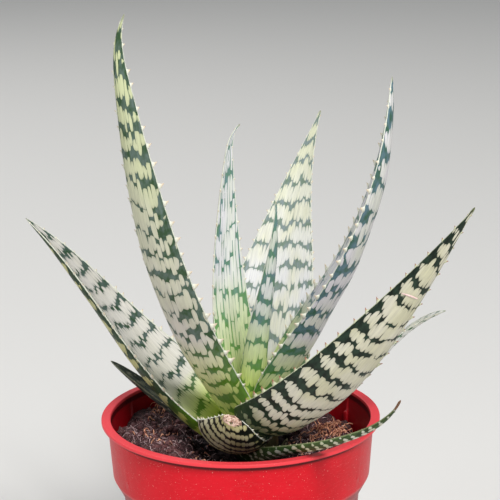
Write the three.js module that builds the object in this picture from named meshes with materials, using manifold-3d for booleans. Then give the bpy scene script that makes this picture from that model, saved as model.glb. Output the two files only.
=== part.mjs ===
// Potted bronze lizard aloe: a rosette of toothed, channelled leaves on a short stem, in a
// filled plastic nursery pot. Millimetres, +Z up, origin at the middle of the pot's flat base.
// The front of the plant faces -Y.

import * as THREE from "three";
import { mergeVertices } from "three/addons/utils/BufferGeometryUtils.js";
import Module from "manifold-3d";

const wasm = await Module();
wasm.setup();

// Pot, a common thin-walled nursery pot of 10 cm
const POT_HEIGHT = 88;
const RIM_RADIUS = 50;
const RIM_THICKNESS = 1.3;
const COLLAR_TOP_RADIUS = 47.8;
const COLLAR_FOOT_RADIUS = 46.3;
const COLLAR_DEPTH = 21;
const STEP_DEPTH = 28;
const BODY_TOP_RADIUS = 42.6;
const BASE_RADIUS = 37.3;
const POT_WALL = 1.1;
const POT_FLOOR = 1.6;
const POT_SIDES = 72;
const DRAIN_HOLES = 8;
const DRAIN_RADIUS = 3.5;
const DRAIN_CIRCLE = 26;
const LUGS = 6;
const LUG_SIZE = [1.6, 2.2, 9];
const LUG_TOP = POT_HEIGHT - 8;
const LUG_ANGLE = 0.54;

// Soil
const SOIL_LEVEL = 77.5;
const SOIL_BUMP = 0.9;
const SOIL_TILT = 3;
const HOLLOW_DEPTH = 4.5;
const HOLLOW_RADIUS = 25;
const SOIL_RINGS = 9;
const SOIL_SIDES = 48;

// Plant
const STEM_AXIS = new THREE.Vector2(4, 0);
const STEM_FOOT = 58;
const ROOT_RADIUS = 5;
const STEM_RADIUS = 9.5;
const STEM_SHOULDER = 84;
const STEM_TOP = 93;
const STEM_TOP_RADIUS = 3.5;
const STEM_SIDES = 24;
const LEAF_ROOT = 4;
const CLEARANCE = 0.3;

// Each leaf is given in degrees and millimetres: lean from the vertical and sway to its side at
// the base, middle and tip, roll at the base and tip, and a hook that turns the last of its tip.
// Width is where its tapering sides would meet the base if the sheath were no narrower. The half
// angle of its channel is clasp at the base and channel above. Tooth is its longest marginal
// tooth, and pitch the distance from one tooth to the next.
const LEAVES = {
  leaf_heart: {
    azimuth: -78, lean: [0, 13, 4], sway: [-3, 7, -2], roll: [-3, 17], hook: 0,
    length: 81, width: 13, taper: 0.87, clasp: 70, channel: 37, thickness: 3.4,
    baseRadius: 5, baseHeight: 91, tooth: 0.4, pitch: 5,
  },
  leaf_back_left: {
    azimuth: 116, lean: [21, 8, -4], sway: [4, -3, -4], roll: [-4, 12], hook: -49,
    length: 105, width: 24, taper: 0.89, clasp: 74, channel: 34, thickness: 4.5,
    baseRadius: 6.6, baseHeight: 88, tooth: 0.9, pitch: 5.5,
  },
  leaf_back_broad: {
    azimuth: 67, lean: [23, 39, 28], sway: [1, 3, -9], roll: [18, -28], hook: 0,
    length: 118, width: 52, taper: 0.97, clasp: 74, channel: 26, thickness: 5,
    baseRadius: 9, baseHeight: 88, tooth: 1, pitch: 4,
  },
  leaf_tall_right: {
    azimuth: -29, lean: [28, 31, -6], sway: [3, -15, 9], roll: [15, 26], hook: 0,
    length: 144.5, width: 35, taper: 0.64, clasp: 79, channel: 50, thickness: 5.5,
    baseRadius: 6, baseHeight: 92, tooth: 1.5, pitch: 5.5,
  },
  leaf_tall_left: {
    azimuth: -127, lean: [42, 27, -1], sway: [-1, 6, -10], roll: [-20, 28], hook: 40,
    length: 175, width: 29, taper: 0.83, clasp: 64, channel: 23, thickness: 6,
    baseRadius: 7, baseHeight: 89, tooth: 1.7, pitch: 6.5,
  },
  leaf_front_right: {
    azimuth: -68, lean: [78, 41, 37], sway: [-13, 15, 11], roll: [-4, -50], hook: 0,
    length: 154, width: 40, taper: 1.05, clasp: 70, channel: 29, thickness: 6,
    baseRadius: 8.5, baseHeight: 87, tooth: 1.4, pitch: 6.2,
  },
  leaf_low_left: {
    azimuth: 174, lean: [55, 38, 47], sway: [0, -4, -2], roll: [-22, -7], hook: 0,
    length: 101, width: 39.5, taper: 0.8, clasp: 63, channel: 47, thickness: 6,
    baseRadius: 13, baseHeight: 84, tooth: 1.1, pitch: 4.5,
  },
  leaf_front_stub: {
    azimuth: -117, lean: [83, 52, 27], sway: [3, 25, 2], roll: [-1, -7], hook: 0,
    length: 39.5, width: 37.5, taper: 0.6, clasp: 62, channel: 42, thickness: 6,
    baseRadius: 11, baseHeight: 81, tooth: 0.9, pitch: 3,
  },
  leaf_old_left: {
    azimuth: 171, lean: [66, 54, 52], sway: [0, 0, 0], roll: [5, -5], hook: 0,
    length: 46.5, width: 16, taper: 0.6, clasp: 75, channel: 32, thickness: 4,
    baseRadius: 13, baseHeight: 80, tooth: 0.4, pitch: 4,
  },
  leaf_low_right: {
    azimuth: -14, lean: [69, 42, 64], sway: [-1, -3, -30], roll: [-17, 0], hook: 0,
    length: 79, width: 19, taper: 0.57, clasp: 70, channel: 25, thickness: 4,
    baseRadius: 12, baseHeight: 84.5, tooth: 0.6, pitch: 4.5,
  },
  leaf_over_rim: {
    azimuth: -71, lean: [59, 65, 39], sway: [-14, 21, -2], roll: [-3, -8], hook: 0,
    length: 95, width: 10, taper: 0.85, clasp: 69, channel: 38, thickness: 3.6,
    baseRadius: 11, baseHeight: 74.5, tooth: 0.4, pitch: 4.5,
  },
  leaf_hidden_back: {
    azimuth: 92, lean: [66, 54, 46], sway: [0, 0, 0], roll: [0, 0], hook: 0,
    length: 70, width: 25, taper: 0.75, clasp: 70, channel: 40, thickness: 5,
    baseRadius: 12, baseHeight: 81, tooth: 0.8, pitch: 5,
  },
};

const LEAF_COLOURS = {
  leaf_heart: 0x86a06c,
  leaf_back_left: 0xb7c3a6,
  leaf_back_broad: 0xc4c9ae,
  leaf_tall_right: 0xa9b5ac,
  leaf_tall_left: 0xa3ae86,
  leaf_front_right: 0x9ea387,
  leaf_low_left: 0xbcc0ae,
  leaf_front_stub: 0x8c8b5c,
  leaf_old_left: 0x5f6a58,
  leaf_low_right: 0xb4bca6,
  leaf_over_rim: 0x56663c,
  leaf_hidden_back: 0x9aa687,
};
const POT_COLOUR = 0xd0202f;
const SOIL_COLOUR = 0x4a2a2a;
const STEM_COLOUR = 0x8f8a5a;

const radians = THREE.MathUtils.degToRad;

// A smooth curve through a value at the base, the middle and the tip.
function through([base, middle, tip], s) {
  return base * (1 - s) * (1 - 2 * s) + middle * 4 * s * (1 - s) + tip * s * (2 * s - 1);
}

// Direction, side and inner-face vectors of a leaf at the share s of its length.
function leafFrame(leaf, s) {
  const azimuth = radians(leaf.azimuth);
  const outward = new THREE.Vector3(Math.cos(azimuth), Math.sin(azimuth), 0);
  const sideways = new THREE.Vector3(-Math.sin(azimuth), Math.cos(azimuth), 0);
  const lean = radians(through(leaf.lean, s));
  const tipShare = THREE.MathUtils.clamp((s - 0.86) / 0.14, 0, 1);
  const sway = radians(through(leaf.sway, s) + leaf.hook * tipShare ** 2);
  const along = new THREE.Vector3(0, 0, Math.cos(lean)).addScaledVector(outward, Math.sin(lean));
  along.multiplyScalar(Math.cos(sway)).addScaledVector(sideways, Math.sin(sway));
  const side = sideways.clone().addScaledVector(along, -along.dot(sideways)).normalize();
  const inner = along.clone().cross(side);
  const roll = radians(THREE.MathUtils.lerp(leaf.roll[0], leaf.roll[1], s));
  const rolledSide = side.clone().multiplyScalar(Math.cos(roll)).addScaledVector(inner, Math.sin(roll));
  const rolledInner = inner.multiplyScalar(Math.cos(roll)).addScaledVector(side, -Math.sin(roll));
  return { along, side: rolledSide, inner: rolledInner };
}

// The middle line of a leaf, as points at equal steps from its base to its tip.
function leafSpine(leaf, steps) {
  const azimuth = radians(leaf.azimuth);
  const point = new THREE.Vector3(
    STEM_AXIS.x + leaf.baseRadius * Math.cos(azimuth),
    STEM_AXIS.y + leaf.baseRadius * Math.sin(azimuth),
    leaf.baseHeight,
  );
  const points = [point.clone()];
  for (let i = 0; i < steps; i += 1) {
    const { along } = leafFrame(leaf, (i + 0.5) / steps);
    point.addScaledVector(along, leaf.length / steps);
    points.push(point.clone());
  }
  return points;
}

// Width of the blade: widest just above the sheath, tapering to nothing at the tip.
function leafWidth(leaf, s) {
  const sheath = 2 * leaf.baseRadius * radians(leaf.clasp) / leaf.width;
  return leaf.width * (1 - s) ** leaf.taper * (1 - (1 - sheath) * Math.exp(-s / 0.1));
}

// A point of the blade: u runs from -1 to 1 across it, face is 1 on the inner side, -1 on the
// outer side and 0 at the margin. Swell moves every side out and reach widens the margins.
function bladePoint(leaf, spine, s, u, face, swell = 0, reach = 0) {
  const { side, inner } = leafFrame(leaf, s);
  const place = s * (spine.length - 1);
  const step = Math.min(Math.floor(place), spine.length - 2);
  const middle = spine[step].clone().lerp(spine[step + 1], place - step);
  const half = leafWidth(leaf, s) / 2;
  const opening = Math.min(s / 0.5, 1) ** 0.8;
  const channel = radians(THREE.MathUtils.lerp(leaf.clasp, leaf.channel, opening));
  const arcRadius = Math.max(half, 0.8) / channel;
  const angle = u * (half + swell + reach) / arcRadius;
  const full = leaf.thickness * (1 - s) ** 0.6 * (1 - u * u) ** 0.75;
  const thickness = Math.min(full, 0.9 * half);
  const offset = face > 0 ? 0.35 * thickness + swell : -(0.65 * thickness + swell);
  return middle
    .addScaledVector(side, arcRadius * Math.sin(angle))
    .addScaledVector(inner, arcRadius * (1 - Math.cos(angle)))
    .addScaledVector(inner, face === 0 ? 0 : offset * Math.cos(angle))
    .addScaledVector(side, face === 0 ? 0 : -offset * Math.sin(angle));
}

// Collects shared points and triangles, and turns them into a geometry.
class Shell {
  constructor() {
    this.points = [];
    this.triangles = [];
  }

  point(vector) {
    this.points.push(vector.x, vector.y, vector.z);
    return this.points.length / 3 - 1;
  }

  triangle(a, b, c, flip = false) {
    this.triangles.push(a, flip ? c : b, flip ? b : c);
  }

  quad(a, b, c, d, flip = false) {
    this.triangle(a, b, c, flip);
    this.triangle(a, c, d, flip);
  }

  geometry() {
    const geometry = new THREE.BufferGeometry();
    geometry.setAttribute("position", new THREE.Float32BufferAttribute(this.points, 3));
    geometry.setIndex(this.triangles);
    return geometry;
  }
}

const ROWS = [-0.72, -0.38, 0, 0.38, 0.72];

// One leaf with its marginal teeth, as a closed shell. Each pitch along it holds one tooth on
// each margin, and both faces are split into triangles alike.
function leafShell(leaf) {
  const shell = new Shell();
  const spine = leafSpine(leaf, 60);
  const rings = Math.round(leaf.length / leaf.pitch);
  const faces = { 1: [], "-1": [] };
  const margins = { 1: [], "-1": [] };
  const root = leafFrame(leaf, 0).along.multiplyScalar(-LEAF_ROOT);

  for (let i = 0; i < rings; i += 1) {
    const s = i / rings;
    for (const face of [1, -1]) {
      const row = ROWS.map((u) => {
        const point = bladePoint(leaf, spine, s, u, face);
        return shell.point(i === 0 ? point.add(root) : point);
      });
      faces[face].push(row);
    }
    for (const edge of [1, -1]) {
      const start = bladePoint(leaf, spine, s, edge, 0);
      const size = leaf.tooth * Math.min(1, Math.max(0, (s - 0.1) / 0.15)) * (1 - s) ** 0.35;
      const toothShare = s + 0.34 / rings;
      const outer = bladePoint(leaf, spine, toothShare, edge, 0, 0, size);
      outer.addScaledVector(leafFrame(leaf, toothShare).along, 0.5 * size);
      const end = bladePoint(leaf, spine, s + 0.42 / rings, edge, 0);
      margins[edge].push([
        shell.point(i === 0 ? start.add(root) : start),
        shell.point(outer),
        shell.point(end),
      ]);
    }
  }
  const tip = shell.point(spine[spine.length - 1]);

  for (let i = 0; i < rings; i += 1) {
    const last = i === rings - 1;
    for (const face of [1, -1]) {
      const here = faces[face][i];
      const next = last ? null : faces[face][i + 1];
      const flip = face < 0;
      for (let j = 0; j + 1 < here.length; j += 1) {
        if (last) {
          shell.triangle(here[j], tip, here[j + 1], flip);
        } else {
          shell.triangle(here[j], next[j], here[j + 1], flip);
          shell.triangle(next[j], next[j + 1], here[j + 1], flip);
        }
      }
      for (const edge of [1, -1]) {
        const turn = (edge < 0) !== flip;
        const [start, outer, end] = margins[edge][i];
        const row = edge > 0 ? here.length - 1 : 0;
        const inner = here[row];
        shell.triangle(inner, outer, start, turn);
        shell.triangle(inner, end, outer, turn);
        shell.triangle(inner, last ? tip : next[row], end, turn);
        if (!last) {
          shell.triangle(next[row], margins[edge][i + 1][0], end, turn);
        }
      }
    }
  }

  const inside = faces[1][0];
  const outside = faces[-1][0];
  for (let j = 0; j + 1 < inside.length; j += 1) {
    shell.quad(inside[j], inside[j + 1], outside[j + 1], outside[j]);
  }
  shell.triangle(margins[-1][0][0], inside[0], outside[0]);
  shell.triangle(inside[inside.length - 1], margins[1][0][0], outside[outside.length - 1]);
  return shell.geometry();
}

// A plain, slightly larger blade that covers a leaf and its teeth, to cut room for it.
function leafRoom(leaf, swell) {
  const shell = new Shell();
  const spine = leafSpine(leaf, 60);
  const rings = 24;
  const across = [-1, ...ROWS, 1];
  const rows = [];
  for (let i = 0; i <= rings; i += 1) {
    const s = Math.min(i / rings, 0.999);
    const push = i === 0 ? -LEAF_ROOT - swell : 0;
    const shift = leafFrame(leaf, 0).along.multiplyScalar(push);
    rows.push([1, -1].map((face) => across.map((u) => {
      const point = bladePoint(leaf, spine, s, u, face, swell, leaf.tooth * 0.6);
      return shell.point(point.add(shift));
    })));
  }
  for (let i = 0; i < rings; i += 1) {
    const [insideHere, outsideHere] = rows[i];
    const [insideNext, outsideNext] = rows[i + 1];
    const end = across.length - 1;
    for (let j = 0; j < end; j += 1) {
      shell.quad(insideHere[j], insideNext[j], insideNext[j + 1], insideHere[j + 1]);
      shell.quad(outsideHere[j], outsideNext[j], outsideNext[j + 1], outsideHere[j + 1], true);
    }
    shell.quad(insideHere[end], insideNext[end], outsideNext[end], outsideHere[end]);
    shell.quad(insideHere[0], insideNext[0], outsideNext[0], outsideHere[0], true);
  }
  for (const [ring, flip] of [[0, false], [rings, true]]) {
    const [inside, outside] = rows[ring];
    for (let j = 0; j + 1 < across.length; j += 1) {
      shell.quad(inside[j], inside[j + 1], outside[j + 1], outside[j], flip);
    }
  }
  return shell.geometry();
}

// A closed body turned about an upright axis, from a list of [radius, height] going up.
function turned(profile, sides, axis = new THREE.Vector2(0, 0)) {
  const outline = profile.map(([radius, height]) => new THREE.Vector2(radius, height));
  const lathe = new THREE.LatheGeometry(outline, sides);
  lathe.rotateX(Math.PI / 2);
  lathe.translate(axis.x, axis.y, 0);
  return lathe;
}

// A solid for cutting and joining, from any closed geometry.
function solidFrom(geometry) {
  const bare = new THREE.BufferGeometry();
  bare.setAttribute("position", geometry.getAttribute("position"));
  bare.setIndex(geometry.getIndex());
  const merged = mergeVertices(bare, 1e-4);
  const index = merged.getIndex().array;
  const kept = [];
  for (let i = 0; i < index.length; i += 3) {
    const [a, b, c] = index.slice(i, i + 3);
    if (a !== b && b !== c && c !== a) {
      kept.push(a, b, c);
    }
  }
  return new wasm.Manifold(new wasm.Mesh({
    numProp: 3,
    vertProperties: new Float32Array(merged.getAttribute("position").array),
    triVerts: new Uint32Array(kept),
  }));
}

// The largest separate body of a solid, so that no loose scrap of a cut is left.
function mainBody(solid) {
  const bodies = solid.decompose();
  return bodies.reduce((best, body) => (body.volume() > best.volume() ? body : best));
}

function geometryFrom(solid) {
  const mesh = solid.getMesh();
  const geometry = new THREE.BufferGeometry();
  geometry.setAttribute("position", new THREE.BufferAttribute(mesh.vertProperties, 3));
  geometry.setIndex(new THREE.BufferAttribute(mesh.triVerts, 1));
  return geometry;
}

function namedMesh(name, geometry, colour, roughness) {
  const material = new THREE.MeshStandardMaterial({ color: colour, roughness, metalness: 0 });
  const mesh = new THREE.Mesh(geometry, material);
  mesh.name = name;
  return mesh;
}

// Inside of the pot's wall, from the floor up to the rim, as [radius, height].
const POT_INSIDE = [
  [BASE_RADIUS - POT_WALL, POT_FLOOR],
  [BODY_TOP_RADIUS - POT_WALL, POT_HEIGHT - STEP_DEPTH],
  [COLLAR_FOOT_RADIUS - POT_WALL, POT_HEIGHT - COLLAR_DEPTH],
  [COLLAR_TOP_RADIUS - POT_WALL, POT_HEIGHT],
];

function potInsideRadius(height) {
  const above = Math.max(1, POT_INSIDE.findIndex(([, level]) => level >= height));
  const [lowRadius, lowHeight] = POT_INSIDE[above - 1];
  const [highRadius, highHeight] = POT_INSIDE[above];
  return THREE.MathUtils.mapLinear(height, lowHeight, highHeight, lowRadius, highRadius);
}

function makePot() {
  const outside = [
    [0, 0],
    [BASE_RADIUS - 0.8, 0],
    [BASE_RADIUS, 0.8],
    [BODY_TOP_RADIUS, POT_HEIGHT - STEP_DEPTH],
    [COLLAR_FOOT_RADIUS, POT_HEIGHT - COLLAR_DEPTH],
    [COLLAR_TOP_RADIUS, POT_HEIGHT - RIM_THICKNESS],
    [RIM_RADIUS - 0.2, POT_HEIGHT - RIM_THICKNESS],
    [RIM_RADIUS, POT_HEIGHT - RIM_THICKNESS + 0.3],
    [RIM_RADIUS, POT_HEIGHT - 0.3],
    [RIM_RADIUS - 0.3, POT_HEIGHT],
  ];
  const inside = [...POT_INSIDE].reverse();
  let pot = solidFrom(turned([...outside, ...inside, [0, POT_FLOOR]], POT_SIDES));
  for (let i = 0; i < DRAIN_HOLES; i += 1) {
    const angle = (i / DRAIN_HOLES) * 2 * Math.PI;
    const hole = new THREE.CylinderGeometry(DRAIN_RADIUS, DRAIN_RADIUS, 3 * POT_FLOOR, 16);
    hole.rotateX(Math.PI / 2);
    hole.translate(DRAIN_CIRCLE * Math.cos(angle), DRAIN_CIRCLE * Math.sin(angle), POT_FLOOR / 2);
    pot = pot.subtract(solidFrom(hole));
  }
  for (let i = 0; i < LUGS; i += 1) {
    const angle = LUG_ANGLE + (i / LUGS) * 2 * Math.PI;
    const [depth, width, height] = LUG_SIZE;
    const lug = new THREE.BoxGeometry(depth, width, height);
    lug.translate(potInsideRadius(LUG_TOP) - depth / 2 + 0.6, 0, LUG_TOP - height / 2);
    lug.rotateZ(angle);
    pot = pot.add(solidFrom(lug));
  }
  return pot;
}

function makeStem(swell = 0) {
  const profile = [
    [0, STEM_FOOT - swell],
    [ROOT_RADIUS - 1 + swell, STEM_FOOT - swell],
    [ROOT_RADIUS + swell, SOIL_LEVEL - HOLLOW_DEPTH],
    [STEM_RADIUS + swell, SOIL_LEVEL - 1],
    [STEM_RADIUS + swell, STEM_SHOULDER],
    [STEM_TOP_RADIUS + swell, STEM_TOP - 1],
    [0, STEM_TOP + swell],
  ];
  return solidFrom(turned(profile, STEM_SIDES, STEM_AXIS));
}

// Height of the soil: higher at the left and back, hollowed round the plant, with low bumps.
function soilHeight(x, y) {
  const away = Math.hypot(x - STEM_AXIS.x, y - STEM_AXIS.y) / HOLLOW_RADIUS;
  const tilt = SOIL_TILT * (0.4 * y - x) / RIM_RADIUS;
  const bumps = Math.sin(0.31 * x + 1.3) * Math.cos(0.27 * y) + 0.6 * Math.sin(0.53 * y - 0.4 * x);
  return SOIL_LEVEL + tilt + SOIL_BUMP * bumps - HOLLOW_DEPTH * Math.exp(-(away ** 4));
}

function makeSoil() {
  const shell = new Shell();
  const clear = (height) => potInsideRadius(height) - CLEARANCE;
  const foot = POT_FLOOR + CLEARANCE;
  const rows = [];
  const ring = (place) => Array.from({ length: SOIL_SIDES }, (_, i) => {
    const angle = (i / SOIL_SIDES) * 2 * Math.PI;
    return shell.point(place(Math.cos(angle), Math.sin(angle)));
  });
  const flatRing = (radius, height) => ring((c, s) => new THREE.Vector3(radius * c, radius * s, height));
  rows.push(flatRing(clear(foot), foot));
  rows.push(flatRing(clear(POT_HEIGHT - STEP_DEPTH), POT_HEIGHT - STEP_DEPTH + 2 * CLEARANCE));
  rows.push(flatRing(clear(POT_HEIGHT - COLLAR_DEPTH), POT_HEIGHT - COLLAR_DEPTH + 2 * CLEARANCE));
  for (let k = 0; k < SOIL_RINGS; k += 1) {
    const share = 1 - k / SOIL_RINGS;
    rows.push(ring((c, s) => {
      const edge = clear(SOIL_LEVEL - 4) - LUG_SIZE[0];
      const radius = edge * share;
      return new THREE.Vector3(radius * c, radius * s, soilHeight(radius * c, radius * s));
    }));
  }
  const bottom = shell.point(new THREE.Vector3(0, 0, foot));
  const top = shell.point(new THREE.Vector3(0, 0, soilHeight(0, 0)));
  for (let i = 0; i < SOIL_SIDES; i += 1) {
    const j = (i + 1) % SOIL_SIDES;
    shell.triangle(bottom, rows[0][j], rows[0][i]);
    for (let k = 0; k + 1 < rows.length; k += 1) {
      shell.quad(rows[k][i], rows[k][j], rows[k + 1][j], rows[k + 1][i]);
    }
    const rim = rows[rows.length - 1];
    shell.triangle(rim[i], rim[j], top);
  }
  return solidFrom(shell.geometry());
}

const plant = new THREE.Group();
plant.name = "potted_bronze_lizard_aloe";

const stem = makeStem();
const stemRoom = makeStem(CLEARANCE);
let taken = stemRoom;
let soil = makeSoil().subtract(stemRoom);

plant.add(namedMesh("pot", geometryFrom(makePot()), POT_COLOUR, 0.4));
plant.add(namedMesh("stem", geometryFrom(stem), STEM_COLOUR, 0.8));

// Leaves are laid from the heart outwards, each cut clear of those inside it.
for (const [name, leaf] of Object.entries(LEAVES)) {
  const body = mainBody(solidFrom(leafShell(leaf)).subtract(taken));
  const room = solidFrom(leafRoom(leaf, CLEARANCE));
  taken = taken.add(room);
  soil = soil.subtract(room);
  plant.add(namedMesh(name, geometryFrom(body), LEAF_COLOURS[name], 0.5));
}

plant.add(namedMesh("soil", geometryFrom(mainBody(soil)), SOIL_COLOUR, 0.95));

export default plant;
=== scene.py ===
"""Looks of a potted bronze lizard aloe: patterned, toothed leaves on a short stem, soil and pot.

Lengths are in metres in the model's own frame, +Z up, with the front of the plant facing -Y.
Leaves, pot and soil are worked out in millimetres, and turned into metres by MM.
"""

import math
import random

import bmesh
import bpy
import numpy as np
from mathutils import Matrix, Vector, noise


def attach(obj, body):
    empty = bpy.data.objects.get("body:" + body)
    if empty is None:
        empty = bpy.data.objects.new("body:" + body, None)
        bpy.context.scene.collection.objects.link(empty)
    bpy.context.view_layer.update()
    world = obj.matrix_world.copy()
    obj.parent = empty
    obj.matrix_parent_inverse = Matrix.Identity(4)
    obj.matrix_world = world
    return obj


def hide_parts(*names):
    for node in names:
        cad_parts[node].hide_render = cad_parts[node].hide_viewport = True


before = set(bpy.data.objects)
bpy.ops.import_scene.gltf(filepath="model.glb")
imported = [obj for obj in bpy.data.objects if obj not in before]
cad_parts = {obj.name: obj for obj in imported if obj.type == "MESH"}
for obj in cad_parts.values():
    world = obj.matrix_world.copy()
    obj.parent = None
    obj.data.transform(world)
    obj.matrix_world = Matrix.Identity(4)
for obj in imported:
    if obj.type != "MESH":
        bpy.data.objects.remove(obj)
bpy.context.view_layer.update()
MM = 0.001

# Camera, as the photograph was taken: where the middle of the pot's rim shows in its frame of
# 500 by 500 pixels, and how far away and how high the lens was.
POT_HEIGHT = 88
FRAME_PIXELS = 500
RIM_CENTRE_PIXEL = (238.2, 413.7)
CAMERA_DISTANCE = 700
CAMERA_ELEVATION = math.radians(20.1)
CAMERA_ROLL = math.radians(0.83)
SENSOR_WIDTH = 36
LENS = 139.6


def make_camera():
    """A long lens in front of the plant, turned so that the rim falls where the photograph has it."""
    focal = LENS / SENSOR_WIDTH * FRAME_PIXELS
    turn = math.atan((RIM_CENTRE_PIXEL[0] - FRAME_PIXELS / 2) / focal)
    drop = math.atan((RIM_CENTRE_PIXEL[1] - FRAME_PIXELS / 2) / focal)
    pitch = CAMERA_ELEVATION - drop
    level = Vector((1, 0, 0))
    ahead = Vector((0, math.cos(pitch), -math.sin(pitch)))
    down = ahead.cross(level)
    forward = ahead * math.cos(turn) - level * math.sin(turn)
    right = level * math.cos(turn) + ahead * math.sin(turn)
    rolled_right = right * math.cos(CAMERA_ROLL) + down * math.sin(CAMERA_ROLL)
    rolled_up = right * math.sin(CAMERA_ROLL) - down * math.cos(CAMERA_ROLL)
    lens_side = Vector((0, -math.cos(CAMERA_ELEVATION), math.sin(CAMERA_ELEVATION)))
    place = Vector((0, 0, POT_HEIGHT * MM)) + lens_side * CAMERA_DISTANCE * MM
    data = bpy.data.cameras.new("camera")
    data.lens = LENS
    data.sensor_width = SENSOR_WIDTH
    camera = bpy.data.objects.new("camera", data)
    bpy.context.scene.collection.objects.link(camera)
    axes = Matrix((rolled_right, rolled_up, -forward)).transposed()
    camera.matrix_world = Matrix.Translation(place) @ axes.to_4x4()
    bpy.context.scene.camera = camera


make_camera()
bpy.context.scene.view_settings.view_transform = "Standard"


# Finishes


class Value:
    """A number or colour that changes over a surface. Its Python operators add Math nodes."""

    def __init__(self, finish, socket):
        self.finish = finish
        self.socket = socket

    def math(self, operation, *numbers, clamp=False):
        settings = {"operation": operation, "use_clamp": clamp}
        return self.finish.node("Math", settings, dict(enumerate(numbers)))

    def __add__(self, other):
        return self.math("ADD", self, other)

    def __sub__(self, other):
        return self.math("SUBTRACT", self, other)

    def __rsub__(self, other):
        return self.math("SUBTRACT", other, self)

    def __mul__(self, other):
        return self.math("MULTIPLY", self, other)

    def __truediv__(self, other):
        return self.math("DIVIDE", self, other)

    def __pow__(self, other):
        return self.math("POWER", self, other)

    def __abs__(self):
        return self.math("ABSOLUTE", self)

    __radd__ = __add__
    __rmul__ = __mul__

    def floor(self):
        return self.math("FLOOR", self)

    def clamped(self):
        return self.math("ADD", self, 0, clamp=True)

    def above(self, level, softness):
        """0 well below the level and 1 well above it, with a soft edge of that width."""
        return ((self - level) / softness + 0.5).clamped()

    def below(self, level, softness):
        return 1 - self.above(level, softness)


class Finish:
    """A material and the nodes of its surface."""

    def __init__(self, name, **surface):
        self.material = bpy.data.materials.new(name)
        self.material.use_nodes = True
        self.tree = self.material.node_tree
        self.surface = self.tree.nodes["Principled BSDF"]
        for key, value in surface.items():
            self.surface.inputs[key.replace("_", " ")].default_value = value

    def feed(self, socket, value):
        if isinstance(value, Value):
            self.tree.links.new(value.socket, socket)
        elif isinstance(value, tuple) and socket.type == "RGBA":
            socket.default_value = (*value, 1)
        else:
            socket.default_value = value

    def node(self, kind, settings=None, inputs=None, output=0):
        """Adds a node: its settings first, then the values or links of its sockets."""
        made = self.tree.nodes.new("ShaderNode" + kind)
        for key, setting in (settings or {}).items():
            setattr(made, key, setting)
        for key, value in (inputs or {}).items():
            self.feed(made.inputs[key], value)
        return Value(self, made.outputs[output])

    def attribute(self, name, output="Fac"):
        return self.node("Attribute", {"attribute_name": name}, output=output)

    def parts(self, vector):
        return [self.node("SeparateXYZ", inputs={0: vector}, output=axis) for axis in range(3)]

    def millimetres(self):
        """The three coordinates of a point on the piece, in millimetres."""
        return [part / MM for part in self.parts(self.node("TexCoord", output="Object"))]

    def place(self, x, y=0, z=0):
        return self.node("CombineXYZ", inputs={0: x, 1: y, 2: z})

    def noise(self, x, y=0, z=0, detail=2, roughness=0.5):
        """Smooth noise about 0.5, with one hump to a unit or so of its three coordinates."""
        inputs = {"Vector": self.place(x, y, z), "Scale": 1, "Detail": detail, "Roughness": roughness}
        return self.node("TexNoise", inputs=inputs)

    def chance(self, x, y=0, z=0):
        """A number from 0 to 1, of its own for each whole number of the coordinates."""
        return self.node("TexWhiteNoise", inputs={"Vector": self.place(x, y, z)})

    def mix(self, share, first, second):
        """Colour from the first to the second as the share goes from 0 to 1."""
        return self.node("Mix", {"data_type": "RGBA"}, {0: share, 6: first, 7: second}, output=2)

    def shaded(self, colour, brightness):
        """The colour, made darker or lighter."""
        grey = self.node("CombineColor", inputs={0: brightness, 1: brightness, 2: brightness})
        settings = {"data_type": "RGBA", "blend_type": "MULTIPLY"}
        return self.node("Mix", settings, {0: 1.0, 6: colour, 7: grey}, output=2)

    def paint(self, colour, roughness, height, depth):
        """Links the colour, roughness and relief; height 1 stands that depth, in millimetres, out."""
        self.feed(self.surface.inputs["Base Color"], colour)
        self.feed(self.surface.inputs["Roughness"], roughness)
        normal = self.node("Bump", inputs={"Height": height, "Distance": depth * MM, "Strength": 1})
        self.feed(self.surface.inputs["Normal"], normal)
        return self.material


def srgb(red, green, blue):
    """Linear colour from the 0 to 255 levels that a screen shows."""
    levels = np.array((red, green, blue)) / 255
    linear = np.where(levels <= 0.04045, levels / 12.92, ((levels + 0.055) / 1.055) ** 2.4)
    return tuple(float(level) for level in linear)


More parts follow.
